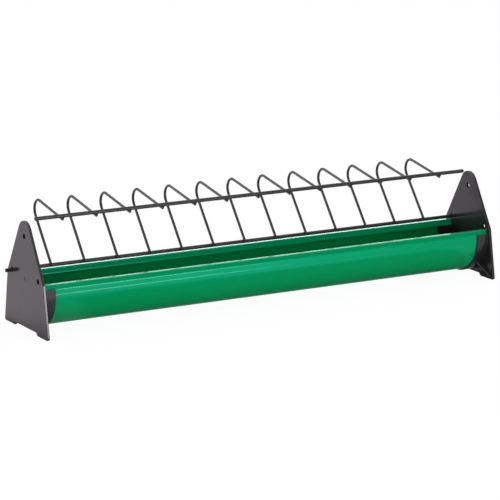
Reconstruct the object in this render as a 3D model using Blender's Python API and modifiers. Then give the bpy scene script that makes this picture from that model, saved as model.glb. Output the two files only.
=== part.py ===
"""Linear feed trough for poultry, standing on the floor with its wire grille swung open.

A green extruded channel slots into the double-walled sockets of two moulded end plates.
The plates stand on arched feet and carry a hinge rod in their rear holes. Thirteen bent
wire hoops are welded to the hinge rod and to a front rail, and this grille swings over the
channel, until its rail rests on the front lip, or back out of the way for filling.

X runs along the channel, Y from the front lip to the hinge side, Z up. The origin is on
the floor, in the middle of the footprint of the trough with its grille open.
"""

import math

import bmesh
import bpy
from mathutils import Matrix, Vector

MM = 0.001

# Overall length and the outline of an end plate
OVERALL_LENGTH = 750.0 * MM
PLATE_THICKNESS = 4.0 * MM
PLATE_HEIGHT = 157.3 * MM
PLATE_TOP_RADIUS = 19.8 * MM
SHOULDER_WIDTH = 118.4 * MM
SHOULDER_HEIGHT = 76.5 * MM
SHOULDER_ROUNDING = 5.0 * MM
FOOT_WIDTH = 144.8 * MM
FOOT_ROUNDING = 3.5 * MM
FOOT_PAD_WIDTH = 34.0 * MM
FOOT_SLOPE = 4.4 * MM
ARCH_ROUNDING = 1.5 * MM
PLATE_EDGE_ROUNDING = 0.6 * MM

# The extruded channel and its turned-in lips
CHANNEL_RADIUS = 53.0 * MM
CHANNEL_WALL = 2.0 * MM
CHANNEL_AXIS_HEIGHT = 59.7 * MM
LIP_TOP_HEIGHT = 74.4 * MM
LIP_FACE = 5.8 * MM
LIP_STEP = 0.7 * MM
LIP_STEP_SLOPE = 0.9 * MM
LIP_REACH = 11.2 * MM
LIP_DROP = 9.4 * MM
LIP_OUTER_ROUNDING = 3.0 * MM
LIP_INNER_ROUNDING = 1.5 * MM

# The sockets that the channel slots into, and the gussets that brace them
FIT_GAP = 0.3 * MM
SOCKET_WALL = 2.0 * MM
OUTER_SOCKET_DEPTH = 18.0 * MM
INNER_SOCKET_DEPTH = 20.5 * MM
SOCKET_BELOW_LIP = 1.2 * MM
SOCKET_LEDGE = 0.3 * MM
GUSSET_THICKNESS = 2.0 * MM
GUSSET_HEIGHT = 10.5 * MM
GUSSET_REACH = 28.0 * MM
GUSSET_ANGLE = math.radians(41.4)

# The rods and wires of the grille
ROD_DIAMETER = 5.6 * MM
WIRE_DIAMETER = 4.0 * MM
ROD_ABOVE_LIP = 1.5 * MM
ROD_HOLE_DIAMETER = 7.5 * MM
ROD_HOLE_SEAT_GAP = 0.5 * MM
TOP_HOLE_HEIGHT = 134.9 * MM
HINGE_SETBACK = 43.6 * MM
HINGE_ROD_END = 10.0 * MM
RAIL_END_GAP = 11.7 * MM
HOOP_COUNT = 13
HOOP_MARGIN = 43.0 * MM
HOOP_REAR_LEG = 78.1 * MM
HOOP_FRONT_LEG = 77.1 * MM
HOOP_BEND_RADIUS = 15.1 * MM
HOOP_BEND_ANGLE = math.radians(138.5)
WIRE_TAIL = 1.0 * MM
OPEN_ANGLE = math.radians(51.4)

# How finely round shapes are cut into flat faces
QUARTER_STEPS = 14
ROUNDING_STEPS = 5
LONGEST_FACET = 2.4 * MM
BEND_STEPS = 12
HOLE_SIDES = 28
WIRE_RESOLUTION = 3

# Sizes that follow from the ones above
PLATE_INNER_X = OVERALL_LENGTH / 2 - PLATE_THICKNESS
OUTER_SOCKET_RADIUS = CHANNEL_RADIUS + FIT_GAP + SOCKET_WALL
INNER_SOCKET_RADIUS = CHANNEL_RADIUS - CHANNEL_WALL - FIT_GAP
OUTER_SOCKET_TOP = LIP_TOP_HEIGHT - LIP_FACE - FIT_GAP
INNER_SOCKET_TOP = LIP_TOP_HEIGHT - LIP_DROP - SOCKET_BELOW_LIP
ARCH_HEIGHT = CHANNEL_AXIS_HEIGHT - OUTER_SOCKET_RADIUS - SOCKET_LEDGE
HINGE_HEIGHT = LIP_TOP_HEIGHT + ROD_ABOVE_LIP + ROD_DIAMETER / 2
ROD_HOLE_HEIGHT = HINGE_HEIGHT + (ROD_HOLE_DIAMETER - ROD_DIAMETER) / 2 - ROD_HOLE_SEAT_GAP
RAIL_LENGTH = 2 * (PLATE_INNER_X - RAIL_END_GAP)
HOOP_PITCH = (RAIL_LENGTH - 2 * HOOP_MARGIN) / (HOOP_COUNT - 1)
WELD_SPACING = (ROD_DIAMETER + WIRE_DIAMETER) / 2 + FIT_GAP

# Lays a flat outline, drawn as (Y, Z) points, upright and squarely across the trough
ACROSS_TROUGH = Matrix.Rotation(math.radians(90), 4, "Z") @ Matrix.Rotation(math.radians(90), 4, "X")


def clear_scene():
    for old in list(bpy.data.objects):
        bpy.data.objects.remove(old, do_unlink=True)


def make_collection(name):
    collection = bpy.data.collections.new(name)
    bpy.context.scene.collection.children.link(collection)
    return collection


def make_material(name, colour, roughness, metallic=0.0):
    material = bpy.data.materials.new(name)
    material.use_nodes = True
    shader = material.node_tree.nodes["Principled BSDF"]
    shader.inputs["Base Color"].default_value = (*colour, 1.0)
    shader.inputs["Roughness"].default_value = roughness
    shader.inputs["Metallic"].default_value = metallic
    material.diffuse_color = (*colour, 1.0)
    return material


def make_empty(name, collection, location, parent=None):
    empty = bpy.data.objects.new(name, None)
    empty.empty_display_size = 20 * MM
    empty.location = location
    empty.parent = parent
    collection.objects.link(empty)
    return empty


# Flat outlines


def direction(angle):
    """Unit (Y, Z) vector at an angle from the Y axis, turning towards Z."""
    return Vector((math.cos(angle), math.sin(angle)))


def arc(centre, radius, start, end, steps):
    """Points along an arc, both ends included; the angles are in radians."""
    angles = [start + (end - start) * step / steps for step in range(steps + 1)]
    return [Vector(centre) + radius * direction(angle) for angle in angles]


def rounded(corners):
    """Outline through (y, z, rounding) corners, each rounded to its own radius."""
    outline = []
    for index, (y, z, radius) in enumerate(corners):
        corner = Vector((y, z))
        if radius == 0:
            outline.append(corner)
            continue
        back = (Vector(corners[index - 1][:2]) - corner).normalized()
        ahead = (Vector(corners[(index + 1) % len(corners)][:2]) - corner).normalized()
        half = back.angle(ahead) / 2
        centre = corner + (back + ahead).normalized() * radius / math.sin(half)
        tangent_in = corner + back * radius / math.tan(half) - centre
        tangent_out = corner + ahead * radius / math.tan(half) - centre
        sweep = tangent_in.angle_signed(tangent_out) * -1
        start = math.atan2(tangent_in.y, tangent_in.x)
        steps = max(ROUNDING_STEPS, math.ceil(abs(sweep) * radius / LONGEST_FACET))
        outline += arc(centre, radius, start, start + sweep, steps)
    return outline


def mirrored(half):
    """Closes a half outline, drawn from the middle and back to it, over the Y = 0 plane."""
    other = [Vector((-point.x, point.y)) for point in reversed(half) if abs(point.x) > 1e-7]
    return half + other


def u_band(outer_radius, wall, top):
    """Outline of an upright U band round the channel's axis, with flat ends at the top."""
    axis = (0, CHANNEL_AXIS_HEIGHT)
    bottom = math.radians(-90)
    inner_radius = outer_radius - wall
    half = arc(axis, outer_radius, bottom, 0, QUARTER_STEPS)
    half.append(Vector((outer_radius, top)))
    half.append(Vector((inner_radius, top)))
    half += arc(axis, inner_radius, 0, bottom, QUARTER_STEPS)
    return mirrored(half)


# Solids from outlines


def extrude_outline(name, outline, thickness, collection):
    """Curve object: the outline filled on both sides and extruded about its own plane."""
    curve = bpy.data.curves.new(name, "CURVE")
    curve.dimensions = "2D"
    curve.fill_mode = "BOTH"
    curve.extrude = thickness / 2
    spline = curve.splines.new("POLY")
    spline.points.add(len(outline) - 1)
    for point, place in zip(spline.points, outline):
        point.co = (place.x, place.y, 0, 1)
    spline.use_cyclic_u = True
    piece = bpy.data.objects.new(name, curve)
    collection.objects.link(piece)
    return piece


def make_tube(name, path, diameter, collection):
    """Curve object: a round bar along a path of 3D points, with flat closed ends."""
    curve = bpy.data.curves.new(name, "CURVE")
    curve.dimensions = "3D"
    curve.bevel_depth = diameter / 2
    curve.bevel_resolution = WIRE_RESOLUTION
    curve.use_fill_caps = True
    spline = curve.splines.new("POLY")
    spline.points.add(len(path) - 1)
    for point, place in zip(spline.points, path):
        point.co = (*place, 1)
    spline.use_smooth = True
    piece = bpy.data.objects.new(name, curve)
    collection.objects.link(piece)
    return piece


def as_mesh(piece):
    """Replaces an object by a plain mesh of what its modifiers and transform give."""
    bpy.context.view_layer.update()
    evaluated = piece.evaluated_get(bpy.context.evaluated_depsgraph_get())
    mesh = bpy.data.meshes.new_from_object(evaluated)
    mesh.transform(piece.matrix_world)
    work = bmesh.new()
    work.from_mesh(mesh)
    bmesh.ops.remove_doubles(work, verts=work.verts, dist=1e-6)
    bmesh.ops.recalc_face_normals(work, faces=work.faces)
    work.to_mesh(mesh)
    work.free()
    solid = bpy.data.objects.new(piece.name + "_solid", mesh)
    piece.users_collection[0].objects.link(solid)
    bpy.data.objects.remove(piece, do_unlink=True)
    return solid


def combine(target, tool, operation):
    """Joins a tool to a mesh object, or cuts it away, and leaves a plain mesh."""
    change = target.modifiers.new(operation.lower(), "BOOLEAN")
    change.operation = operation
    change.solver = "EXACT"
    change.object = tool
    result = as_mesh(target)
    bpy.data.objects.remove(tool, do_unlink=True)
    return result


def slab_across(name, outline, x_start, x_end, collection):
    """Solid of an upright outline that fills X from x_start to x_end."""
    slab = extrude_outline(name, outline, x_end - x_start, collection)
    slab.matrix_world = Matrix.Translation(((x_start + x_end) / 2, 0, 0)) @ ACROSS_TROUGH
    return as_mesh(slab)


# The end plates


def plate_apex_height():
    """Height at which the plate's two sides would meet if its top weren't rounded."""
    shoulder_edge = SHOULDER_WIDTH / 2
    rise = PLATE_HEIGHT - PLATE_TOP_RADIUS - SHOULDER_HEIGHT
    lean_to_centre = math.atan2(shoulder_edge, rise)
    lean = lean_to_centre - math.asin(PLATE_TOP_RADIUS / math.hypot(shoulder_edge, rise))
    return SHOULDER_HEIGHT + shoulder_edge / math.tan(lean)


def plate_outline():
    """Outline of the end plate: arched feet, a shoulder on each side and a round top."""
    foot_edge = FOOT_WIDTH / 2
    pad_inner_edge = foot_edge - FOOT_PAD_WIDTH
    right = [
        (pad_inner_edge - FOOT_SLOPE, ARCH_HEIGHT, ARCH_ROUNDING),
        (pad_inner_edge, 0, ARCH_ROUNDING),
        (foot_edge, 0, FOOT_ROUNDING),
        (SHOULDER_WIDTH / 2, SHOULDER_HEIGHT, SHOULDER_ROUNDING),
    ]
    left = [(-y, z, radius) for y, z, radius in reversed(right)]
    apex = (0, plate_apex_height(), PLATE_TOP_RADIUS)
    return rounded([*right, apex, *left])


def make_gusset(side, collection):
    """Triangular rib from the outer socket to the foot; side is 1 for the rear, -1 for the front."""
    root = OUTER_SOCKET_RADIUS - SOCKET_WALL / 2
    tip = OUTER_SOCKET_RADIUS + GUSSET_REACH
    buried = PLATE_THICKNESS / 2
    triangle = [
        Vector((root, buried)),
        Vector((tip, buried)),
        Vector((tip, PLATE_THICKNESS)),
        Vector((root, PLATE_THICKNESS + GUSSET_HEIGHT)),
    ]
    rib = extrude_outline("gusset", triangle, GUSSET_THICKNESS, collection)
    outwards = Vector((0, side * math.cos(GUSSET_ANGLE), -math.sin(GUSSET_ANGLE)))
    along = Vector((1, 0, 0))
    turn = Matrix((outwards, along, outwards.cross(along))).transposed().to_4x4()
    rib.matrix_world = Matrix.Translation((0, 0, CHANNEL_AXIS_HEIGHT)) @ turn
    return as_mesh(rib)


def make_hole_cutter(y, z, collection):
    mesh = bpy.data.meshes.new("rod_hole")
    work = bmesh.new()
    radius = ROD_HOLE_DIAMETER / 2
    bmesh.ops.create_cone(
        work, cap_ends=True, segments=HOLE_SIDES, radius1=radius, radius2=radius,
        depth=4 * PLATE_THICKNESS, matrix=Matrix.Rotation(math.radians(90), 4, "Y"),
    )
    work.to_mesh(mesh)
    work.free()
    cutter = bpy.data.objects.new("rod_hole", mesh)
    cutter.location = (0, y, z)
    cutter.hide_render = True
    cutter.display_type = "WIRE"
    collection.objects.link(cutter)
    return cutter


def make_plate_mesh(cutters):
    """Mesh of one end plate: X = 0 is its outer face, and its sockets point to +X."""
    plate = slab_across("plate", plate_outline(), 0, PLATE_THICKNESS, cutters)
    edge = plate.modifiers.new("edge rounding", "BEVEL")
    edge.width = PLATE_EDGE_ROUNDING
    edge.segments = 2
    edge.limit_method = "ANGLE"
    edge.angle_limit = math.radians(60)
    plate = as_mesh(plate)

    buried = PLATE_THICKNESS / 2
    outer_band = u_band(OUTER_SOCKET_RADIUS, SOCKET_WALL, OUTER_SOCKET_TOP)
    inner_band = u_band(INNER_SOCKET_RADIUS, SOCKET_WALL, INNER_SOCKET_TOP)
    outer_mouth = PLATE_THICKNESS + OUTER_SOCKET_DEPTH
    inner_mouth = PLATE_THICKNESS + INNER_SOCKET_DEPTH
    plate = combine(plate, slab_across("outer", outer_band, buried, outer_mouth, cutters), "UNION")
    plate = combine(plate, slab_across("inner", inner_band, buried, inner_mouth, cutters), "UNION")
    for side in (-1, 1):
        plate = combine(plate, make_gusset(side, cutters), "UNION")

    holes = [(-HINGE_SETBACK, ROD_HOLE_HEIGHT), (HINGE_SETBACK, ROD_HOLE_HEIGHT), (0, TOP_HOLE_HEIGHT)]
    for y, z in holes:
        plate = combine(plate, make_hole_cutter(y, z, cutters), "DIFFERENCE")

    mesh = plate.data.copy()
    mesh.name = "end_plate"
    mesh.shade_smooth()
    mesh.set_sharp_from_angle(angle=math.radians(30))
    bpy.data.objects.remove(plate, do_unlink=True)
    return mesh


def add_end_plates(collection, cutters, frame, material):
    mesh = make_plate_mesh(cutters)
    mesh.materials.clear()
    mesh.materials.append(material)
    for name, side in (("end_plate_left", -1), ("end_plate_right", 1)):
        plate = bpy.data.objects.new(name, mesh)
        plate.location = (side * OVERALL_LENGTH / 2, 0, 0)
        plate.rotation_euler = (0, 0, 0 if side < 0 else math.pi)
        plate.parent = frame
        collection.objects.link(plate)


# The channel


def channel_outline():
    """Section of the extrusion: a U whose lips turn in over the feed and then down."""
    axis = (0, CHANNEL_AXIS_HEIGHT)
    bottom = math.radians(-90)
    inner_radius = CHANNEL_RADIUS - CHANNEL_WALL
    lip_outer = CHANNEL_RADIUS + LIP_STEP
    lip_inner = lip_outer - LIP_REACH
    lip_base = LIP_TOP_HEIGHT - LIP_FACE
    lip_edge = LIP_TOP_HEIGHT - LIP_DROP
    ceiling = LIP_TOP_HEIGHT - CHANNEL_WALL
    half = arc(axis, CHANNEL_RADIUS, bottom, 0, QUARTER_STEPS)
    half.append(Vector((CHANNEL_RADIUS, lip_base)))
    half.append(Vector((lip_outer, lip_base + LIP_STEP_SLOPE)))
    outer_corner = (lip_outer - LIP_OUTER_ROUNDING, LIP_TOP_HEIGHT - LIP_OUTER_ROUNDING)
    half += arc(outer_corner, LIP_OUTER_ROUNDING, 0, math.radians(90), ROUNDING_STEPS)
    inner_corner = (lip_inner + LIP_INNER_ROUNDING, LIP_TOP_HEIGHT - LIP_INNER_ROUNDING)
    half += arc(inner_corner, LIP_INNER_ROUNDING, math.radians(90), math.radians(180), ROUNDING_STEPS)
    edge_radius = CHANNEL_WALL / 2
    edge_centre = (lip_inner + edge_radius, lip_edge + edge_radius)
    half += arc(edge_centre, edge_radius, math.radians(180), math.radians(360), 2 * ROUNDING_STEPS)
    half.append(Vector((lip_inner + CHANNEL_WALL, ceiling)))
    half.append(Vector((inner_radius, ceiling)))
    half += arc(axis, inner_radius, 0, bottom, QUARTER_STEPS)
    return mirrored(half)


def add_channel(collection, frame, material):
    length = 2 * (PLATE_INNER_X - FIT_GAP)
    channel = extrude_outline("trough_channel", channel_outline(), length, collection)
    channel.rotation_euler = ACROSS_TROUGH.to_euler()
    channel.parent = frame
    channel.data.materials.append(material)


# The grille, drawn about its hinge axis


def hoop_path():
    """(Y, Z) centre line of a hoop, from its tail at the hinge rod to its tail at the rail."""
    rear_leg = direction(OPEN_ANGLE)
    inside = direction(OPEN_ANGLE + math.radians(90))
    weld = inside * WELD_SPACING
    bend_centre = weld + rear_leg * HOOP_REAR_LEG + inside * HOOP_BEND_RADIUS
    bend_start = OPEN_ANGLE - math.radians(90)
    path = [weld - rear_leg * WIRE_TAIL]
    path += arc(bend_centre, HOOP_BEND_RADIUS, bend_start, bend_start + HOOP_BEND_ANGLE, BEND_STEPS)
    path.append(path[-1] + front_leg_direction() * (HOOP_FRONT_LEG + WIRE_TAIL))
    return path


def front_leg_direction():
    return direction(OPEN_ANGLE + HOOP_BEND_ANGLE)


def rail_centre():
    """(Y, Z) of the front rail, which lies on the outer side of the hoops' front legs."""
    outside = direction(OPEN_ANGLE + HOOP_BEND_ANGLE - math.radians(90))
    return hoop_path()[-1] - front_leg_direction() * WIRE_TAIL + outside * WELD_SPACING


def hoop_rear_extent():
    """How far behind the hinge axis the wire of the open hoops reaches."""
    return max(point.x for point in hoop_path()) + WIRE_DIAMETER / 2


def add_bar(name, length, place, diameter, collection, parent, material):
    """Straight bar along X, centred, at a (Y, Z) place in its parent's frame."""
    ends = [Vector((-length / 2, 0, 0)), Vector((length / 2, 0, 0))]
    bar = make_tube(name, ends, diameter, collection)
    bar.location = (0, place.x, place.y)
    bar.parent = parent
    bar.data.materials.append(material)


def add_grille(collection, hinge, material):
    rod_length = OVERALL_LENGTH + 2 * HINGE_ROD_END
    add_bar("hinge_rod", rod_length, Vector((0, 0)), ROD_DIAMETER, collection, hinge, material)
    add_bar("front_rail", RAIL_LENGTH, rail_centre(), ROD_DIAMETER, collection, hinge, material)
    path = [Vector((0, point.x, point.y)) for point in hoop_path()]
    first = make_tube("hoop_wire_01", path, WIRE_DIAMETER, collection)
    first.data.materials.append(material)
    hoops = [first]
    for number in range(2, HOOP_COUNT + 1):
        hoop = bpy.data.objects.new(f"hoop_wire_{number:02d}", first.data)
        collection.objects.link(hoop)
        hoops.append(hoop)
    for index, hoop in enumerate(hoops):
        hoop.location = ((index - (HOOP_COUNT - 1) / 2) * HOOP_PITCH, 0, 0)
        hoop.parent = hinge


def build():
    clear_scene()
    trough = make_collection("poultry_feed_trough")
    cutters = make_collection("cutters")
    green_plastic = make_material("green_plastic", (0.0, 0.30, 0.14), 0.18)
    black_plastic = make_material("black_plastic", (0.045, 0.043, 0.044), 0.3)
    black_wire = make_material("black_wire", (0.025, 0.023, 0.023), 0.35, 0.2)

    front_extent = max(point.x for point in plate_outline())
    rear_extent = HINGE_SETBACK + hoop_rear_extent()
    footprint_middle = (rear_extent - front_extent) / 2
    frame = make_empty("standing_frame", trough, (0, -footprint_middle, 0))
    hinge = make_empty("grille_hinge", trough, (0, HINGE_SETBACK, HINGE_HEIGHT), frame)

    add_channel(trough, frame, green_plastic)
    add_end_plates(trough, cutters, frame, black_plastic)
    add_grille(trough, hinge, black_wire)


build()
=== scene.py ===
import math

import bmesh
import bpy
from mathutils import Matrix, Vector


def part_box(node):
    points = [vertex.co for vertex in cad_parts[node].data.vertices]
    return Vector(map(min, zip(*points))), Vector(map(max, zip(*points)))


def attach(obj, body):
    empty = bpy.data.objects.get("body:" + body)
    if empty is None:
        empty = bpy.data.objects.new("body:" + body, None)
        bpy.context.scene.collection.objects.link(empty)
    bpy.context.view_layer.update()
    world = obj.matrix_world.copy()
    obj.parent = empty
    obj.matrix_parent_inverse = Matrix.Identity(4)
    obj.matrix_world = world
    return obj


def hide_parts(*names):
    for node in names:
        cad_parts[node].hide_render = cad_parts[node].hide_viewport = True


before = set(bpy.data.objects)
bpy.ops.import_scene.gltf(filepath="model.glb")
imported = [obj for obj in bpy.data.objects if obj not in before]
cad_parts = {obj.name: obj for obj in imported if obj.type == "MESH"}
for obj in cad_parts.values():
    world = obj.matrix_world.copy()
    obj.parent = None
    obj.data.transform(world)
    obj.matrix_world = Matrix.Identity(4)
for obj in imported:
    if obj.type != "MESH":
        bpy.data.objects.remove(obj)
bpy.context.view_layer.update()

# The channel: one length of glossy green rigid plastic, extruded as a U whose two edges
# turn in over the feed and then down, so that the birds can't rake it out. It is sawn
# square at both ends and pushed into the sockets of the end plates, without screws.
MM = 0.001
CHANNEL_LOW, CHANNEL_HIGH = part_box("trough_channel")
MIDDLE_Y = (CHANNEL_LOW.y + CHANNEL_HIGH.y) / 2
CHANNEL_RADIUS = 53.0 * MM
CHANNEL_WALL = 2.0 * MM
CHANNEL_AXIS_Z = 59.7 * MM
ROUND_STEPS = 44

LIP_TOP_Z = 74.4 * MM
LIP_FACE = 5.8 * MM
LIP_STEP = 0.7 * MM
LIP_REACH = 11.2 * MM
LIP_DROP = 9.4 * MM
LIP_SHOULDER = 0.15 * MM
LIP_LEAN = 1.9 * MM
LIP_OUTER_ROUNDING = 0.9 * MM
LIP_INNER_ROUNDING = 1.7 * MM
LIP_CORNER_STEPS = 8
LIP_CURL = 0.5 * MM
LIP_CURL_HEIGHT = 4.6 * MM
LIP_CURL_POWER = 1.6
LIP_CURL_STEPS = 6
LIP_EDGE_STEPS = 14
LIP_UNDERSIDE_ROUNDING = 0.8 * MM
WALL_TOP_ROUNDING = 1.6 * MM

RIDGES_Z = (59.1 * MM, 66.4 * MM)
RIDGE_HALF_WIDTH = 1.5 * MM
RIDGE_HEIGHT = 0.135 * MM
RIDGE_STEPS = 12
RIDGE_TO_LIP = 0.4 * MM

OUTSIDE_GREEN = (0.0, 0.325, 0.101)
CLOUDED_GREEN = (0.0, 0.307, 0.094)
# Painted shade: the inside of the channel is given a darker green.
INSIDE_SHADE_GREEN = (0.0, 0.282, 0.066)
# Painted sheen: the lip flanges are given a bluer green.
LIP_SHEEN_GREEN = (0.0, 0.29, 0.105)
# Painted highlight: the tops of the lips are given the palest green.
LIP_TOP_HIGHLIGHT_GREEN = (0.0, 0.47, 0.22)
OUTSIDE_FADE = (CHANNEL_RADIUS - CHANNEL_WALL, CHANNEL_RADIUS - CHANNEL_WALL / 2)
LIP_FADE = (46.5 * MM, CHANNEL_RADIUS - 1.5 * CHANNEL_WALL)
LIP_TOP_FADE = (LIP_TOP_Z - 0.8 * MM, LIP_TOP_Z - 0.1 * MM)

GREEN_ROUGHNESS = (0.10, 0.17)
GREEN_GLOSS = (0.0, 1.0, 0.9)
LEFT_RIDGE_GLOSS = (0.45, 1.0, 0.97)
LEFT_RIDGE_FADE = (-300 * MM, 50 * MM)
RIDGE_GLOSS_RISE = 0.3 * MM
RIDGE_GLOSS_REACH = 0.9 * MM

SHARP_EDGE_ANGLE = math.radians(33)


def direction(angle):
    """Unit (Y, Z) vector at an angle from the Y axis, turning towards Z."""
    return Vector((math.cos(angle), math.sin(angle)))


def arc(centre, radius, start, end, steps):
    """Points along an arc, both ends included; the angles are in degrees."""
    turn = [math.radians(start + (end - start) * step / steps) for step in range(steps + 1)]
    return [Vector(centre) + radius * direction(angle) for angle in turn]


def mirrored(half):
    """Closes a half outline, drawn from the middle and back to it, over the Y = 0 plane."""
    return half + [Vector((-point.x, point.y)) for point in reversed(half) if abs(point.x) > 1e-7]


def ridge(z):
    """Points over one of the low ridges that the die draws along the channel's side."""
    points = []
    for step in range(RIDGE_STEPS + 1):
        share = 2 * step / RIDGE_STEPS - 1
        swell = RIDGE_HEIGHT * (1 - share * share) ** 2
        points.append(Vector((CHANNEL_RADIUS + swell, z + RIDGE_HALF_WIDTH * share)))
    return points


def channel_outline():
    """(Y, Z) section of the channel, Y from its middle: a U with leaning, curled lips."""
    axis = (0, CHANNEL_AXIS_Z)
    half = arc(axis, CHANNEL_RADIUS, -90, 0, ROUND_STEPS)
    for z in RIDGES_Z:
        half += ridge(z)

    face_foot = Vector((CHANNEL_RADIUS + LIP_SHOULDER, half[-1].y + RIDGE_TO_LIP))
    lean = math.degrees(math.atan2(LIP_LEAN, LIP_TOP_Z - face_foot.y))
    outer_corner = (face_foot.x - LIP_LEAN - LIP_OUTER_ROUNDING / 2, LIP_TOP_Z - LIP_OUTER_ROUNDING)
    half.append(face_foot)
    half += arc(outer_corner, LIP_OUTER_ROUNDING, lean, 90, LIP_CORNER_STEPS)

    lip_inner = CHANNEL_RADIUS + LIP_STEP - LIP_REACH
    inner_corner = (lip_inner + LIP_CURL + LIP_INNER_ROUNDING, LIP_TOP_Z - LIP_INNER_ROUNDING)
    half += arc(inner_corner, LIP_INNER_ROUNDING, 90, 180, LIP_CORNER_STEPS)

    edge_centre = (lip_inner + CHANNEL_WALL / 2, LIP_TOP_Z - LIP_DROP + CHANNEL_WALL / 2)
    for step in range(1, LIP_CURL_STEPS + 1):
        share = step / LIP_CURL_STEPS
        curl = LIP_CURL * (1 - share ** LIP_CURL_POWER)
        half.append(Vector((lip_inner + curl, edge_centre[1] + LIP_CURL_HEIGHT * (1 - share))))
    half += arc(edge_centre, CHANNEL_WALL / 2, 180, 360, LIP_EDGE_STEPS)[1:]

    ceiling = LIP_TOP_Z - CHANNEL_WALL
    inner_radius = CHANNEL_RADIUS - CHANNEL_WALL
    near_lip = (lip_inner + CHANNEL_WALL + LIP_UNDERSIDE_ROUNDING, ceiling - LIP_UNDERSIDE_ROUNDING)
    near_wall = (inner_radius - WALL_TOP_ROUNDING, ceiling - WALL_TOP_ROUNDING)
    half += arc(near_lip, LIP_UNDERSIDE_ROUNDING, 180, 90, 4)
    half += arc(near_wall, WALL_TOP_ROUNDING, 90, 0, 6)
    half += arc(axis, inner_radius, 0, -90, ROUND_STEPS)
    return mirrored(half)


def across(outline, x):
    """A flat (Y, Z) outline stood up across the trough at a place along it."""
    return [(x, MIDDLE_Y + point.x, point.y) for point in outline]


def skin(name, rings):
    """Closed mesh drawn over a row of rings of equally many points, flat at both ends."""
    work = bmesh.new()
    rows = [[work.verts.new(point) for point in ring] for ring in rings]
    for row, following in zip(rows, rows[1:]):
        for index in range(len(row)):
            beside = (index + 1) % len(row)
            work.faces.new((row[index], row[beside], following[beside], following[index]))
    work.faces.new(rows[0])
    work.faces.new(rows[-1])
    bmesh.ops.recalc_face_normals(work, faces=work.faces)
    mesh = bpy.data.meshes.new(name)
    work.to_mesh(mesh)
    work.free()
    return mesh


def fit(mesh, name, finish, body, nodes):
    """Puts a finished mesh in the scene, on its body and in place of its plain solids."""
    mesh.materials.clear()
    piece = bpy.data.objects.new(name, mesh)
    bpy.context.scene.collection.objects.link(piece)
    mesh.materials.append(finish.material)
    mesh.shade_smooth()
    mesh.set_sharp_from_angle(angle=SHARP_EDGE_ANGLE)
    shading = piece.modifiers.new("even shading", "WEIGHTED_NORMAL")
    shading.keep_sharp = True
    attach(piece, body)
    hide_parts(*nodes)


def spread(tree, value, start, end, low, high, course="LINEAR"):
    """Node output that goes from low to high as a value goes from start to end."""
    change = tree.nodes.new("ShaderNodeMapRange")
    change.interpolation_type = course
    numbers = {"From Min": start, "From Max": end, "To Min": low, "To Max": high}
    for socket, number in numbers.items():
        change.inputs[socket].default_value = number
    tree.links.new(value, change.inputs["Value"])
    return change.outputs["Result"]


def joined(tree, operation, first, second):
    """Node output of a sum, a product or a maximum of two others."""
    maths = tree.nodes.new("ShaderNodeMath")
    maths.operation = operation
    tree.links.new(first, maths.inputs[0])
    tree.links.new(second, maths.inputs[1])
    return maths.outputs["Value"]


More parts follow.
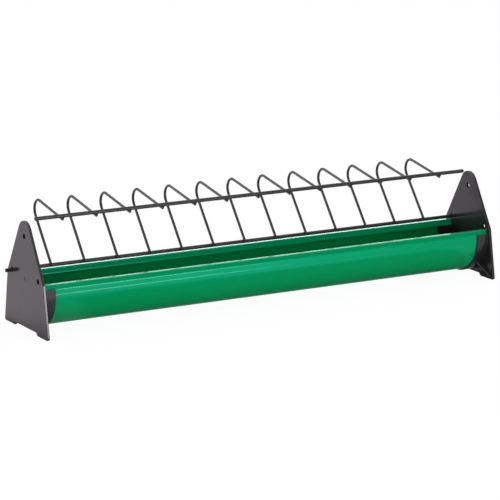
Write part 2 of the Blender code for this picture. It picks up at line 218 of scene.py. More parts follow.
class Finish:
    """A procedural finish on one principled shader, drawn in the piece's own metres."""

    def __init__(self, name, roughness, **settings):
        self.material = bpy.data.materials.new(name)
        self.material.use_nodes = True
        self.tree = self.material.node_tree
        self.shader = self.tree.nodes["Principled BSDF"]
        self.shader.inputs["Roughness"].default_value = roughness
        for socket, value in settings.items():
            self.shader.inputs[socket.replace("_", " ")].default_value = value
        self.place = self.tree.nodes.new("ShaderNodeTexCoord").outputs["Object"]

    def stretched(self, scale, shift=(0, 0, 0)):
        """The place on the piece, scaled and shifted along X, Y and Z."""
        mapping = self.tree.nodes.new("ShaderNodeMapping")
        mapping.inputs["Scale"].default_value = scale
        mapping.inputs["Location"].default_value = shift
        self.tree.links.new(self.place, mapping.inputs["Vector"])
        return mapping.outputs["Vector"]

    def noise(self, per_metre, detail=3.0):
        """Noise with that many grains in a metre along X, Y and Z."""
        texture = self.tree.nodes.new("ShaderNodeTexNoise")
        texture.inputs["Scale"].default_value = 1.0
        texture.inputs["Detail"].default_value = detail
        texture.inputs["Roughness"].default_value = 0.5
        self.tree.links.new(self.stretched(per_metre), texture.inputs["Vector"])
        return texture.outputs["Fac"]

    def distance_from_axis(self, y, z):
        """Distance from a line along X, in metres."""
        length = self.tree.nodes.new("ShaderNodeVectorMath")
        length.operation = "LENGTH"
        self.tree.links.new(self.stretched((0, 1, 1), (0, -y, -z)), length.inputs[0])
        return length.outputs["Value"]

    def along(self, axis):
        """Place on the piece along the X, Y or Z axis, in metres."""
        split = self.tree.nodes.new("ShaderNodeSeparateXYZ")
        self.tree.links.new(self.place, split.inputs["Vector"])
        return split.outputs[axis]

    def between(self, factor, low, high, start=0.3, end=0.7):
        """A number that goes from low to high as the factor goes from start to end."""
        return spread(self.tree, factor, start, end, low, high)

    def near_to(self, value, places, reach):
        """1 where the value is within reach of one of the places, else 0."""
        total = None
        for centre in places:
            compare = self.tree.nodes.new("ShaderNodeMath")
            compare.operation = "COMPARE"
            self.tree.links.new(value, compare.inputs[0])
            compare.inputs[1].default_value = centre
            compare.inputs[2].default_value = reach
            near = compare.outputs["Value"]
            total = joined(self.tree, "ADD", total, near) if total else near
        return total

    def blend(self, factor, first, second):
        """A colour between two others, each given as numbers or as a node output."""
        mix = self.tree.nodes.new("ShaderNodeMix")
        mix.data_type = "RGBA"
        self.tree.links.new(factor, mix.inputs["Factor"])
        for socket, colour in (("A", first), ("B", second)):
            if isinstance(colour, tuple):
                mix.inputs[socket].default_value = (*colour, 1.0)
            else:
                self.tree.links.new(colour, mix.inputs[socket])
        return mix.outputs["Result"]

    def mottled(self, pattern, first, second):
        """A colour that wanders between two others with a noise pattern."""
        return self.blend(self.between(pattern, 0, 1), first, second)

    def raised(self, *layers):
        """Bump from (height, depth in metres) layers, one on the other."""
        normal = None
        for height, depth in layers:
            bump = self.tree.nodes.new("ShaderNodeBump")
            bump.inputs["Distance"].default_value = depth
            self.tree.links.new(height, bump.inputs["Height"])
            if normal:
                self.tree.links.new(normal, bump.inputs["Normal"])
            normal = bump.outputs["Normal"]
        self.set("Normal", normal)

    def set(self, socket, value):
        """Feeds a node output to one of the shader's sockets."""
        self.tree.links.new(value, self.shader.inputs[socket])


green = Finish("glossy green plastic", 0.14, Specular_IOR_Level=1.0,
               Specular_Tint=(*GREEN_GLOSS, 1.0), Coat_Weight=0.04, Coat_Roughness=0.06)
die_lines = green.noise((0.4, 900, 900), detail=2.0)
drawn_waves = green.noise((1.5, 60, 60), detail=1.5)
cloudiness = green.noise((5, 25, 25), detail=4.0)
from_axis = green.distance_from_axis(MIDDLE_Y, CHANNEL_AXIS_Z)
height = green.along("Z")

# The wall's inside is painted a deeper green as shade, the lips a little bluer as a painted sheen, and
# their tops the palest as a painted highlight.
outside = green.between(from_axis, 0, 1, *OUTSIDE_FADE)
on_lip = green.between(from_axis, 1, 0, *LIP_FADE)
on_lip_top = green.between(height, 0, 1, *LIP_TOP_FADE)
outside_green = green.mottled(cloudiness, OUTSIDE_GREEN, CLOUDED_GREEN)
wall_green = green.blend(outside, INSIDE_SHADE_GREEN, outside_green)
wall_and_lip = green.blend(on_lip, wall_green, LIP_SHEEN_GREEN)
green.set("Base Color", green.blend(on_lip_top, wall_and_lip, LIP_TOP_HIGHLIGHT_GREEN))

# The ridges shine a little whiter towards the trough's left end.
on_ridge = green.near_to(height, [z + RIDGE_GLOSS_RISE for z in RIDGES_Z], RIDGE_GLOSS_REACH)
rightwards = green.between(green.along("X"), 0, 1, *LEFT_RIDGE_FADE)
ridge_gloss = green.blend(rightwards, LEFT_RIDGE_GLOSS, GREEN_GLOSS)
green.set("Specular Tint", green.blend(on_ridge, GREEN_GLOSS, ridge_gloss))
green.set("Roughness", green.between(die_lines, *GREEN_ROUGHNESS))
green.raised((drawn_waves, 0.12 * MM), (die_lines, 0.01 * MM))

section = channel_outline()
channel = skin("channel", [across(section, x) for x in (CHANNEL_LOW.x, CHANNEL_HIGH.x)])
fit(channel, "channel", green, "trough", ["trough_channel"])

# The end plates: two equal black mouldings that carry everything. Each has a flat tapered
# face on arched feet, a double-walled U socket that the channel is pushed into, two gussets
# from the socket to the feet, two holes by the lips for the hinge rod and one at the top.
LEFT_FACE_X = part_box("end_plate_left")[0].x
PLATE_THICKNESS = 4.0 * MM
PLATE_HEIGHT = 157.3 * MM
PLATE_TOP_RADIUS = 19.8 * MM
PLATE_EDGE_ROUNDING = 0.6 * MM
SHOULDER_WIDTH = 118.4 * MM
SHOULDER_Z = 76.5 * MM
SHOULDER_ROUNDING = 5.0 * MM
FOOT_WIDTH = 144.8 * MM
FOOT_ROUNDING = 3.5 * MM
FOOT_PAD_WIDTH = 34.0 * MM
FOOT_SLOPE = 4.4 * MM
ARCH_Z = 4.1 * MM
ARCH_ROUNDING = 1.5 * MM
LEAST_ROUNDING_STEPS = 8

FIT_GAP = 0.3 * MM
SOCKET_WALL = 2.0 * MM
OUTER_SOCKET_RADIUS = CHANNEL_RADIUS + FIT_GAP + SOCKET_WALL
OUTER_SOCKET_TOP = LIP_TOP_Z - LIP_FACE - FIT_GAP
OUTER_SOCKET_DEPTH = 18.0 * MM
INNER_SOCKET_RADIUS = CHANNEL_RADIUS - CHANNEL_WALL - FIT_GAP
INNER_SOCKET_TOP = LIP_TOP_Z - LIP_DROP - 1.2 * MM
INNER_SOCKET_DEPTH = 20.5 * MM
SOCKET_FILLET = 0.5 * MM
SOCKET_EDGE = 0.35 * MM

GUSSET_THICKNESS = 2.0 * MM
GUSSET_HEIGHT = 10.5 * MM
GUSSET_REACH = 28.0 * MM
GUSSET_TOE = 1.5 * MM
GUSSET_ANGLE = math.radians(41.4)
GUSSET_EDGE = 0.6 * MM
CREST_HALF_WIDTH = 1.1 * MM
CREST_CLEAR_OF_PLATE = 0.3 * MM
CREST_FACING = 0.6

ROD_HOLE_RADIUS = 3.75 * MM
ROD_HOLE_EDGE = 0.2 * MM
ROD_HOLE_SLACK = 0.1 * MM
ROD_HOLES = ((-43.6 * MM, 79.15 * MM), (43.6 * MM, 79.15 * MM), (0.0, 134.9 * MM))
GATE_MARK_Z = 74.8 * MM
GATE_DIMPLE_MM = ((-1.0, 4.2), (0.0, 3.2), (0.5, 2.7), (0.7, 1.8))
GATE_NUB_MM = ((0.3, 0.6), (0.4, 0.8), (1.0, 0.9))

PLATE_BLACK = (0.023, 0.021, 0.023)
FLOW_BLACK = (0.019, 0.0175, 0.019)
PLATE_ROUGHNESS = (0.16, 0.26)
# Painted shade: the walls of the rod holes are coloured near black.
HOLE_SHADE_BLACK = (0.006, 0.006, 0.006)
DRILL_LINE_SHADE_BLACK = (0.003, 0.003, 0.003)
# Painted highlight: the free edges of the gussets are coloured pale grey.
CREST_HIGHLIGHT_GREY = (0.12, 0.118, 0.115)
DIMMER_CREST_HIGHLIGHT_GREY = (0.075, 0.074, 0.073)


def rounded(corners):
    """Outline through (y, z, rounding) corners, each rounded to its own radius."""
    outline = []
    for index, (y, z, radius) in enumerate(corners):
        corner = Vector((y, z))
        back = (Vector(corners[index - 1][:2]) - corner).normalized()
        ahead = (Vector(corners[(index + 1) % len(corners)][:2]) - corner).normalized()
        half = back.angle(ahead) / 2
        centre = corner + (back + ahead).normalized() * radius / math.sin(half)
        leave = corner + back * radius / math.tan(half) - centre
        arrive = corner + ahead * radius / math.tan(half) - centre
        start = math.degrees(math.atan2(leave.y, leave.x))
        sweep = -math.degrees(leave.angle_signed(arrive))
        steps = LEAST_ROUNDING_STEPS + 2 * round(radius / MM)
        outline += arc(centre, radius, start, start + sweep, steps)
    return outline


def plate_outline():
    """Arched feet, a shoulder on each side and a round top between two leaning edges."""
    pad_inner_edge = FOOT_WIDTH / 2 - FOOT_PAD_WIDTH
    half_width = SHOULDER_WIDTH / 2
    rise = PLATE_HEIGHT - PLATE_TOP_RADIUS - SHOULDER_Z
    lean = math.atan2(half_width, rise) - math.asin(PLATE_TOP_RADIUS / math.hypot(half_width, rise))
    apex = (0, SHOULDER_Z + half_width / math.tan(lean), PLATE_TOP_RADIUS)
    right = [
        (pad_inner_edge - FOOT_SLOPE, ARCH_Z, ARCH_ROUNDING),
        (pad_inner_edge, 0, ARCH_ROUNDING),
        (FOOT_WIDTH / 2, 0, FOOT_ROUNDING),
        (half_width, SHOULDER_Z, SHOULDER_ROUNDING),
    ]
    left = [(-y, z, radius) for y, z, radius in reversed(right)]
    return rounded([*right, apex, *left])


def shrunk(outline, inset):
    """The outline, drawn anticlockwise, with every point moved inwards by the inset."""
    moved = []
    for index, point in enumerate(outline):
        along = (outline[(index + 1) % len(outline)] - point).normalized()
        before = (point - outline[index - 1]).normalized()
        bend = (along + before).normalized()
        moved.append(point + Vector((-bend.y, bend.x)) * inset / max(0.5, bend.dot(along)))
    return moved


def quarter_round(rounding, steps=4):
    """(advance, inset) pairs over a rounded rim, from the end face to the full width."""
    turns = [math.radians(90) * step / steps for step in range(steps + 1)]
    return [(rounding * (1 - math.cos(turn)), rounding * (1 - math.sin(turn))) for turn in turns]


def slab_levels(thickness, rounding):
    """(height, inset) pairs through a slab whose two rims are rounded off."""
    rim = quarter_round(rounding)
    return rim + [(thickness - height, inset) for height, inset in reversed(rim)]


def socket_outline(outer, inner, top):
    """U of one socket wall, open at the top, with its two top edges eased."""
    axis = (0, CHANNEL_AXIS_Z)
    edge_z = top - SOCKET_EDGE
    half = arc(axis, outer, -90, 0, ROUND_STEPS)
    half += arc((outer - SOCKET_EDGE, edge_z), SOCKET_EDGE, 0, 90, 3)
    half += arc((inner + SOCKET_EDGE, edge_z), SOCKET_EDGE, 90, 180, 3)
    return mirrored(half + arc(axis, inner, 0, -90, ROUND_STEPS))


def socket_band(radius, top, depth):
    """One wall of the socket: it swells where it grows out of the plate, and its rim is eased."""
    mouth = PLATE_THICKNESS + depth
    levels = [(PLATE_THICKNESS / 2, SOCKET_FILLET)]
    levels += [(PLATE_THICKNESS + advance, swell) for advance, swell in quarter_round(SOCKET_FILLET, 6)]
    levels += [(mouth - inset, -advance) for advance, inset in quarter_round(SOCKET_EDGE, 3)]
    rings = []
    for x, swell in levels:
        outline = socket_outline(radius + swell, radius - SOCKET_WALL - swell, top + swell)
        rings.append([(x, point.x, point.y) for point in outline])
    return skin("socket", rings)


def gusset(side):
    """Triangular rib from the outer socket down to a foot; side is 1 for the rear one."""
    root = OUTER_SOCKET_RADIUS - SOCKET_WALL / 2
    tip = OUTER_SOCKET_RADIUS + GUSSET_REACH
    triangle = [
        Vector((root, PLATE_THICKNESS / 2)),
        Vector((tip + GUSSET_TOE, PLATE_THICKNESS / 2)),
        Vector((tip, PLATE_THICKNESS)),
        Vector((root, PLATE_THICKNESS + GUSSET_HEIGHT)),
    ]
    rings = []
    for height, inset in slab_levels(GUSSET_THICKNESS, GUSSET_EDGE):
        rings.append([(*point, height - GUSSET_THICKNESS / 2) for point in shrunk(triangle, inset)])
    rib = skin("gusset", rings)
    outwards = Vector((0, side * math.cos(GUSSET_ANGLE), -math.sin(GUSSET_ANGLE)))
    along = Vector((1, 0, 0))
    turn = Matrix((outwards, along, outwards.cross(along))).transposed().to_4x4()
    rib.transform(Matrix.Translation((0, 0, CHANNEL_AXIS_Z)) @ turn)
    return rib


def turned(name, profile, y, z, sides=40):
    """Mesh turned on a lathe round an axis along X, from (x, radius) pairs."""
    circle = [direction(math.tau * side / sides) for side in range(sides)]
    rings = []
    for x, radius in profile:
        rings.append([(x, y + radius * point.x, z + radius * point.y) for point in circle])
    return skin(name, rings)


def eased_hole(y, z):
    """Cutter for a rod hole whose rims are eased on both faces of the plate."""
    rim = [(inset, ROD_HOLE_RADIUS + advance) for advance, inset in quarter_round(ROD_HOLE_EDGE)]
    near = list(reversed(rim))
    far = [(PLATE_THICKNESS - x, radius) for x, radius in rim]
    outside = 1.0 * MM
    start = (-outside, near[0][1] + outside)
    end = (PLATE_THICKNESS + outside, far[-1][1] + outside)
    return turned("rod_hole", [start, *near, *far, end], y, z)


def gate_piece(name, profile_mm):
    """Round piece of the mark that the moulding's gate left in the middle of the face."""
    return turned(name, [(x * MM, radius * MM) for x, radius in profile_mm], 0, GATE_MARK_Z)


def combined(target, tool, operation):
    """Mesh of a target with a tool joined to it or cut away from it."""
    objects = [bpy.data.objects.new(mesh.name, mesh) for mesh in (target, tool)]
    for solid in objects:
        bpy.context.scene.collection.objects.link(solid)
    change = objects[0].modifiers.new("change", "BOOLEAN")
    change.operation = operation
    change.solver = "EXACT"
    change.object = objects[1]
    changed = objects[0].evaluated_get(bpy.context.evaluated_depsgraph_get())
    result = bpy.data.meshes.new_from_object(changed)
    for solid in objects:
        bpy.data.objects.remove(solid, do_unlink=True)
    return result


def end_plate_mesh():
    """One end plate, with its outer face on X = 0 and its sockets towards +X."""
    rings = []
    for height, inset in slab_levels(PLATE_THICKNESS, PLATE_EDGE_ROUNDING):
        rings.append([(height, point.x, point.y) for point in shrunk(plate_outline(), inset)])
    plate = skin("end_plate", rings)
    outer = socket_band(OUTER_SOCKET_RADIUS, OUTER_SOCKET_TOP, OUTER_SOCKET_DEPTH)
    inner = socket_band(INNER_SOCKET_RADIUS, INNER_SOCKET_TOP, INNER_SOCKET_DEPTH)
    for addition in (outer, inner, gusset(-1), gusset(1)):
        plate = combined(plate, addition, "UNION")
    for y, z in ROD_HOLES:
        plate = combined(plate, eased_hole(y, z), "DIFFERENCE")
    plate = combined(plate, gate_piece("gate_dimple", GATE_DIMPLE_MM), "DIFFERENCE")
    plate = combined(plate, gate_piece("gate_nub", GATE_NUB_MM), "UNION")
    work = bmesh.new()
    work.from_mesh(plate)
    bmesh.ops.remove_doubles(work, verts=work.verts, dist=1e-6)
    bmesh.ops.dissolve_degenerate(work, edges=work.edges, dist=1e-6)
    bmesh.ops.recalc_face_normals(work, faces=work.faces)
    work.to_mesh(plate)
    work.free()
    return plate


def hole_walls(mesh):
    """Numbers of the faces on the walls of the rod holes."""
    walls = []
    for face in mesh.polygons:
        x, y, z = face.center
        inside = min(x, PLATE_THICKNESS - x) > ROD_HOLE_EDGE
        for hole_y, hole_z in ROD_HOLES:
            if inside and math.hypot(y - hole_y, z - hole_z) < ROD_HOLE_RADIUS + ROD_HOLE_SLACK:
                walls.append(face.index)
    return walls


def gusset_crests(mesh):
    """Numbers of the faces on the free edges of the gussets."""
    crests = []
    facing = Vector((GUSSET_REACH, GUSSET_HEIGHT)).normalized()
    for face in mesh.polygons:
        x, y, z = face.center
        place = Vector((y, z - CHANNEL_AXIS_Z))
        off_plate = x > PLATE_THICKNESS + CREST_CLEAR_OF_PLATE
        for side in (-1, 1):
            outwards = Vector((side * math.cos(GUSSET_ANGLE), -math.sin(GUSSET_ANGLE)))
            slope = face.normal.x * facing.x + Vector(face.normal[1:]).dot(outwards) * facing.y
            on_rib = abs(place.cross(outwards)) < CREST_HALF_WIDTH
            off_socket = place.dot(outwards) > OUTER_SOCKET_RADIUS
            if slope > CREST_FACING and on_rib and off_plate and off_socket:
                crests.append(face.index)
    return crests


black = Finish("moulded black plastic", 0.2, Specular_Tint=(0.96, 0.94, 1.0, 1.0))
flow = black.noise((40, 40, 14))
sink = black.noise((18, 18, 18), detail=1.0)
satin = black.noise((650, 650, 650), detail=1.0)
grain = black.noise((2600, 2600, 2600), detail=2.0)
black.set("Base Color", black.mottled(flow, PLATE_BLACK, FLOW_BLACK))
black.set("Roughness", black.between(flow, *PLATE_ROUGHNESS))
black.raised((sink, 0.2 * MM), (satin, 0.008 * MM), (grain, 0.004 * MM))

# Painted shade inside the rod holes: near black, mottled, with no gloss.
matte = Finish("hole wall painted shade", 0.9, Specular_IOR_Level=0.0)
drill_lines = matte.noise((3000, 600, 600))
matte.set("Base Color", matte.mottled(drill_lines, HOLE_SHADE_BLACK, DRILL_LINE_SHADE_BLACK))

# Painted highlight on the gussets' free edges: a mottled pale grey.
crest_highlight = Finish("gusset crest painted highlight", 0.3)
crest_highlight_mottle = crest_highlight.noise((300, 300, 300))
crest_highlight.set("Base Color", crest_highlight.mottled(crest_highlight_mottle, CREST_HIGHLIGHT_GREY, DIMMER_CREST_HIGHLIGHT_GREY))

plate = end_plate_mesh()
faces_by_finish = ((matte, hole_walls(plate)), (crest_highlight, gusset_crests(plate)))
plate_right = plate.copy()
middle = Matrix.Translation((0, MIDDLE_Y, 0))
to_left_end = Matrix.Translation((LEFT_FACE_X, 0, 0))
plate.transform(middle @ to_left_end)
plate_right.transform(middle @ Matrix.Rotation(math.pi, 4, "Z") @ to_left_end)
fit(plate, "end_plate_left_moulding", black, "trough", ["end_plate_left"])
fit(plate_right, "end_plate_right_moulding", black, "trough", ["end_plate_right"])

# The walls of the rod holes get a painted shade, near black and matte, and the free edges of the
# gussets a painted highlight in pale grey.
for moulding in (plate, plate_right):
    for finish, faces in faces_by_finish:
        moulding.materials.append(finish.material)
        for number in faces:
            moulding.polygons[number].material_index = len(moulding.materials) - 1

# The hinge rod and the front rail: straight lengths of black-coated steel rod. The hinge
# rod lies in the rear holes of both end plates and its cropped ends stand out of them. The
# front rail ties the free ends of the hoops together.
ROD_RADIUS = 2.8 * MM
ROD_END_ROUNDING = 0.6 * MM
COATING_BLACK = (0.035, 0.032, 0.033)
THIN_COATING_BLACK = (0.027, 0.025, 0.025)
COATING_ROUGHNESS = (0.24, 0.36)


def rod_mesh(name, node):
    """Round rod with eased ends, in the place of a plain one."""
    low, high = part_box(node)
    ease = quarter_round(ROD_END_ROUNDING)
    near = [(low.x + x, ROD_RADIUS - inset) for x, inset in ease]
    far = [(high.x - x, ROD_RADIUS - inset) for x, inset in reversed(ease)]
    return turned(name, near + far, (low.y + high.y) / 2, (low.z + high.z) / 2)


wire = Finish("coated black wire", 0.3, Specular_Tint=(1.0, 0.88, 0.9, 1.0))
coating = wire.noise((420, 900, 900))
specks = wire.noise((3000, 3000, 3000), detail=1.0)
wire.set("Base Color", wire.mottled(coating, COATING_BLACK, THIN_COATING_BLACK))
wire.set("Roughness", wire.between(coating, *COATING_ROUGHNESS))
wire.raised((coating, 0.04 * MM), (specks, 0.006 * MM))

for node in ("hinge_rod", "front_rail"):
    name = f"{node}_coated"
    fit(rod_mesh(name, node), name, wire, "grille", [node])

# The hoops: thirteen pieces of thinner black-coated wire, each bent once round a roller and
# welded at its two ends to the hinge rod and to the front rail. Their ends are cropped just
# past the welds, and coating fills the welds' corners.
HINGE_LOW, HINGE_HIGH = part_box("hinge_rod")
HINGE = Vector(((HINGE_LOW.y + HINGE_HIGH.y) / 2, (HINGE_LOW.z + HINGE_HIGH.z) / 2))
WIRE_RADIUS = 2.0 * MM
WIRE_SIDES = 20
WIRE_TAIL = 1.0 * MM
CUT_ROUNDING = 0.35 * MM
HOOP_COUNT = 13
HOOP_REAR_LEG = 78.1 * MM
HOOP_FRONT_LEG = 77.1 * MM
HOOP_BEND_RADIUS = 15.1 * MM
HOOP_BEND_STEPS = 30
HOOP_BEND_ANGLE = 138.5
REAR_LEG_ANGLE = 51.4
FRONT_LEG_ANGLE = REAR_LEG_ANGLE + HOOP_BEND_ANGLE
WELD_SPACING = 5.1 * MM
WELD_RISE = 0.15 * MM
WELD_HALF_SIZES = (2.8 * MM, 1.5 * MM, 2.7 * MM)


def hoop_path():
    """(Y, Z) centre line of a hoop, from its tail at the hinge rod to its tail at the rail."""
    leg = direction(math.radians(REAR_LEG_ANGLE))
    inside = direction(math.radians(REAR_LEG_ANGLE + 90))
    weld = HINGE + inside * WELD_SPACING
    bend_centre = weld + leg * HOOP_REAR_LEG + inside * HOOP_BEND_RADIUS
    bend_start, bend_end = REAR_LEG_ANGLE - 90, FRONT_LEG_ANGLE - 90
    path = [weld - leg * WIRE_TAIL]
    path += arc(bend_centre, HOOP_BEND_RADIUS, bend_start, bend_end, HOOP_BEND_STEPS)
    path.append(path[-1] + direction(math.radians(FRONT_LEG_ANGLE)) * (HOOP_FRONT_LEG + WIRE_TAIL))
    return path


def wire_mesh(path):
    """Round wire along a path in one plane across the trough, with its cropped ends eased."""
    first = (path[1] - path[0]).normalized()
    last = (path[-1] - path[-2]).normalized()
    ease = quarter_round(CUT_ROUNDING, 3)
    stations = []
    for advance, inset in ease:
        stations.append((path[0] + first * advance, first, WIRE_RADIUS - inset))
    for before, point, after in zip(path, path[1:], path[2:]):
        along = ((after - point).normalized() + (point - before).normalized()).normalized()
        stations.append((point, along, WIRE_RADIUS))
    for advance, inset in reversed(ease):
        stations.append((path[-1] - last * advance, last, WIRE_RADIUS - inset))
    rings = []
    for centre, along, radius in stations:
        normal = Vector((-along.y, along.x))
        ring = []
        for side in range(WIRE_SIDES):
            angle = math.tau * side / WIRE_SIDES
            point = centre + normal * radius * math.sin(angle)
            ring.append((radius * math.cos(angle), point.x, point.y))
        rings.append(ring)
    return skin("hoop", rings)


def weld_mesh(centre, across_joint):
    """Small lump of weld in the corner between a wire and a rod, under the coating."""
    work = bmesh.new()
    bmesh.ops.create_icosphere(work, subdivisions=3, radius=1.0)
    lump = bpy.data.meshes.new("weld")
    work.to_mesh(lump)
    work.free()
    place = Matrix.Translation((0, centre.x, centre.y))
    turn = Matrix.Rotation(math.atan2(across_joint.y, across_joint.x), 4, "X")
    lump.transform(place @ turn @ Matrix.Diagonal((*WELD_HALF_SIZES, 1.0)))
    return lump


path = hoop_path()
rear_inside = direction(math.radians(REAR_LEG_ANGLE + 90))
front_outside = direction(math.radians(FRONT_LEG_ANGLE - 90))
rear_weld = HINGE + rear_inside * (ROD_RADIUS + WELD_RISE)
front_joint = path[-1] - direction(math.radians(FRONT_LEG_ANGLE)) * WIRE_TAIL
front_weld = front_joint + front_outside * (WIRE_RADIUS + WELD_RISE)
hoop = wire_mesh(path)
hoop = combined(hoop, weld_mesh(rear_weld, rear_inside), "UNION")
hoop = combined(hoop, weld_mesh(front_weld, front_outside), "UNION")
for number in range(1, HOOP_COUNT + 1):
    node = f"hoop_wire_{number:02d}"
    low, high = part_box(node)
    placed = hoop.copy()
    placed.transform(Matrix.Translation(((low.x + high.x) / 2, 0, 0)))
    fit(placed, f"welded_hoop_{number:02d}", wire, "grille", [node])

# The studio: a white room with a white floor. Its front wall looks darker in the gloss, and the floor
# has a painted shadow under and around the trough and a painted pool of light in front of it, which
# only the gloss sees. Two softboxes low at the front right light the left plate's edge and the
# channel's side, and a narrow one behind lays the light lines along the lips.
FLOOR_REACH = 30.0
FLOOR_SINK = 0.3 * MM
MIRRORED_FLOOR_TINT = (1.0, 0.88, 0.975, 1.0)


def ramp(tree, value, start, end, low=0.0, high=1.0):
    """Node output that goes softly from low to high as a value goes from start to end."""
    return spread(tree, value, start, end, low, high, "SMOOTHSTEP")


def chosen(tree, choice, otherwise, wanted):
    """Node output that takes one of two numbers or outputs, by a choice from 0 to 1."""
    switch = tree.nodes.new("ShaderNodeMix")
    tree.links.new(choice, switch.inputs["Factor"])
    for socket, value in (("A", otherwise), ("B", wanted)):
        if isinstance(value, float):
            switch.inputs[socket].default_value = value
        else:
            tree.links.new(value, switch.inputs[socket])
    return switch.outputs["Result"]


world = bpy.data.worlds.new("studio")
bpy.context.scene.world = world
world.use_nodes = True
room = world.node_tree
sky = room.nodes["Background"]
sky.inputs["Color"].default_value = (1.0, 1.0, 1.0, 1.0)
rays = room.nodes.new("ShaderNodeLightPath").outputs
outwards = room.nodes.new("ShaderNodeSeparateXYZ")
room.links.new(room.nodes.new("ShaderNodeTexCoord").outputs["Generated"], outwards.inputs["Vector"])
room_x, room_y, room_z = (outwards.outputs[axis] for axis in "XYZ")

# The light on the trough comes mostly from the sides. What its gloss mirrors is a dark front
# wall, a white ceiling and, behind on the left, a bright wall with a dark one beside it.
soft_light = ramp(room, room_z, 0.0, 1.0, 1.16, 0.2)
walls = ramp(room, room_y, -0.45, 0.05, 0.1, 1.0)
walls_and_ceiling = chosen(room, ramp(room, room_z, 0.57, 0.72), walls, 1.0)
on_left = ramp(room, room_x, -0.15, -0.02, 1.0, 0.0)
behind_left = joined(room, "MULTIPLY", on_left, ramp(room, room_y, 0.40, 0.5))
left_wall = ramp(room, room_y, 0.74, 0.80, 2.8, 0.0)
mirrored_room = chosen(room, behind_left, walls_and_ceiling, left_wall)
seen = joined(room, "MAXIMUM", rays["Is Camera Ray"], rays["Is Glossy Ray"])
seen_or_through = joined(room, "MAXIMUM", seen, rays["Is Transmission Ray"])
lighting = chosen(room, seen_or_through, soft_light, mirrored_room)
room.links.new(chosen(room, rays["Is Camera Ray"], lighting, 1.0), sky.inputs["Strength"])

floor_mesh = bpy.data.meshes.new("floor")
corners = [(x * FLOOR_REACH, y * FLOOR_REACH, 0) for x, y in ((-1, -1), (1, -1), (1, 1), (-1, 1))]
floor_mesh.from_pydata(corners, [], [(0, 1, 2, 3)])
floor = bpy.data.objects.new("floor", floor_mesh)
floor.location.z = -FLOOR_SINK
bpy.context.scene.collection.objects.link(floor)
white = bpy.data.materials.new("white_sweep")
white.use_nodes = True
sweep = white.node_tree
paint = sweep.nodes["Principled BSDF"]
paint.inputs["Roughness"].default_value = 0.9
paint.inputs["Specular IOR Level"].default_value = 0.0
sight = sweep.nodes.new("ShaderNodeLightPath").outputs
place = sweep.nodes.new("ShaderNodeSeparateXYZ")
sweep.links.new(sweep.nodes.new("ShaderNodeNewGeometry").outputs["Position"], place.inputs["Vector"])


def on_floor(axis, start, end, low=0.0, high=1.0):
    """Soft change of a number over the floor, between two places along X or Y."""
    return ramp(sweep, place.outputs[axis], start, end, low, high)


def on_strip(left_fade, right_fade):
    """1 over a stretch of the floor along the trough, and 0 beyond its two fades."""
    return joined(sweep, "MULTIPLY", on_floor("X", *left_fade), on_floor("X", *right_fade, 1.0, 0.0))


# How bright the gloss sees the floor, with painted shadow beside the left foot, along the trough's
# front edge and below it, and a painted pool of light in front of it:
# round the trough, in front of it, along its front edge, and below it at its ends and in its middle.
past_foot = on_floor("X", -0.435, -0.405)
beside_foot = joined(sweep, "MULTIPLY", past_foot, on_floor("Y", 0.0, 0.07, 1.0, 0.0))
all_round = chosen(sweep, beside_foot, 0.64, 0.44)
in_front = on_floor("X", 0.08, 0.46, 1.4, 0.75)
in_middle = on_strip((-0.31, -0.27), (0.352, 0.385))
front_edge = chosen(sweep, in_middle, on_floor("X", 0.0, 0.4, 0.52, 0.68), 0.2)
below_ends = on_floor("X", 0.0, 0.4, 0.15, 0.35)
below = chosen(sweep, in_middle, below_ends, on_floor("Y", -0.03, 0.015, 0.03, 0.9))
underneath = chosen(sweep, on_floor("Y", -0.11, -0.04), front_edge, below)
near_trough = chosen(sweep, on_floor("Y", -0.22, -0.13), in_front, underneath)
along_trough = on_strip((-0.40, -0.36), (0.6, 0.9))
before_rear = joined(sweep, "MULTIPLY", along_trough, on_floor("Y", 0.08, 0.14, 1.0, 0.0))
# Painted shadow and a painted pool of light on the floor, which only the gloss sees.
painted_floor_light_and_shade = chosen(sweep, before_rear, all_round, near_trough)

# The camera sees a plain white floor. The gloss sees a faintly pink one away from the trough, and one
# painted dark as shade in front of and under it.
glow = chosen(sweep, sight["Is Glossy Ray"], 0.12, painted_floor_light_and_shade)
sweep.links.new(chosen(sweep, sight["Is Camera Ray"], glow, 0.94), paint.inputs["Emission Strength"])
tone = chosen(sweep, sight["Is Glossy Ray"], 0.95, ramp(sweep, before_rear, 0.0, 1.0, 0.6, 0.02))
sweep.links.new(chosen(sweep, sight["Is Camera Ray"], tone, 0.12), paint.inputs["Base Color"])
tinted = joined(sweep, "MULTIPLY", sight["Is Glossy Ray"], ramp(sweep, before_rear, 0.0, 1.0, 1.0, 0.0))
tint = sweep.nodes.new("ShaderNodeMix")
tint.data_type = "RGBA"
sweep.links.new(tinted, tint.inputs["Factor"])
tint.inputs["A"].default_value = (1.0, 1.0, 1.0, 1.0)
tint.inputs["B"].default_value = MIRRORED_FLOOR_TINT
sweep.links.new(tint.outputs["Result"], paint.inputs["Emission Color"])
floor.data.materials.append(white)


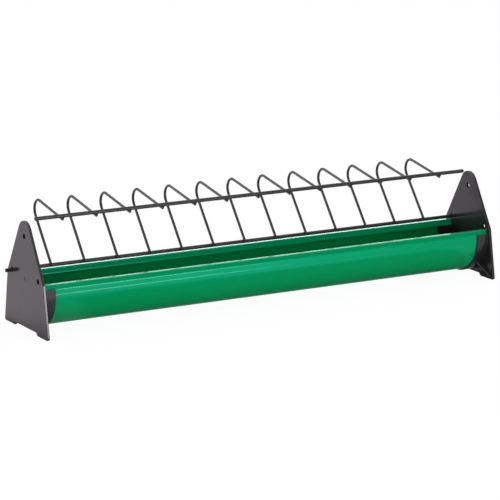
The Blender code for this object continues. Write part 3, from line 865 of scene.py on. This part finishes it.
def softbox(name, target, azimuth, elevation, distance, width, height, radiance):
    """Area lamp that faces a target; azimuth turns from +Y towards +X, both in degrees."""
    lamp = bpy.data.lights.new(name, "AREA")
    lamp.shape = "RECTANGLE"
    lamp.size = width
    lamp.size_y = height
    lamp.energy = radiance * math.pi * width * height
    box = bpy.data.objects.new(name, lamp)
    turn, lift = math.radians(azimuth), math.radians(elevation)
    towards = Vector((math.sin(turn) * math.cos(lift), math.cos(turn) * math.cos(lift), math.sin(lift)))
    box.location = target + towards * distance
    box.rotation_euler = towards.to_track_quat("Z", "Y").to_euler()
    box.visible_camera = False
    bpy.context.scene.collection.objects.link(box)


left_shoulder = Vector((LEFT_FACE_X, MIDDLE_Y - 60 * MM, 72 * MM))
channel_side = Vector((-200 * MM, MIDDLE_Y - CHANNEL_RADIUS, 68 * MM))
rear_lip = Vector((170 * MM, MIDDLE_Y + 45 * MM, LIP_TOP_Z))
softbox("low_front_softbox", left_shoulder, azimuth=156.3, elevation=6.6, distance=1.2,
        width=0.2, height=0.18, radiance=16.0)
softbox("low_front_strip", channel_side, azimuth=153.2, elevation=3.0, distance=3.0,
        width=0.6, height=0.4, radiance=9.0)
softbox("low_back_strip", rear_lip, azimuth=0.0, elevation=12.5, distance=0.3,
        width=1.3, height=0.045, radiance=2.6)

# The camera stands at the front left, a little above the trough, with a long lens.
CAMERA_PLACE = Vector((-1.803386, MIDDLE_Y - 3.170063, 0.897604))
CAMERA_AIM = Vector((-0.01052, MIDDLE_Y + 0.004557, 0.07442))
FOCAL_LENGTH_MM = 183.08
SENSOR_WIDTH_MM = 36.0
lens = bpy.data.cameras.new("camera")
lens.lens = FOCAL_LENGTH_MM
lens.sensor_width = SENSOR_WIDTH_MM
camera = bpy.data.objects.new("camera", lens)
camera.location = CAMERA_PLACE
camera.rotation_euler = (CAMERA_AIM - CAMERA_PLACE).to_track_quat("-Z", "Y").to_euler()
bpy.context.scene.collection.objects.link(camera)
bpy.context.scene.camera = camera
bpy.context.scene.view_settings.view_transform = "Standard"
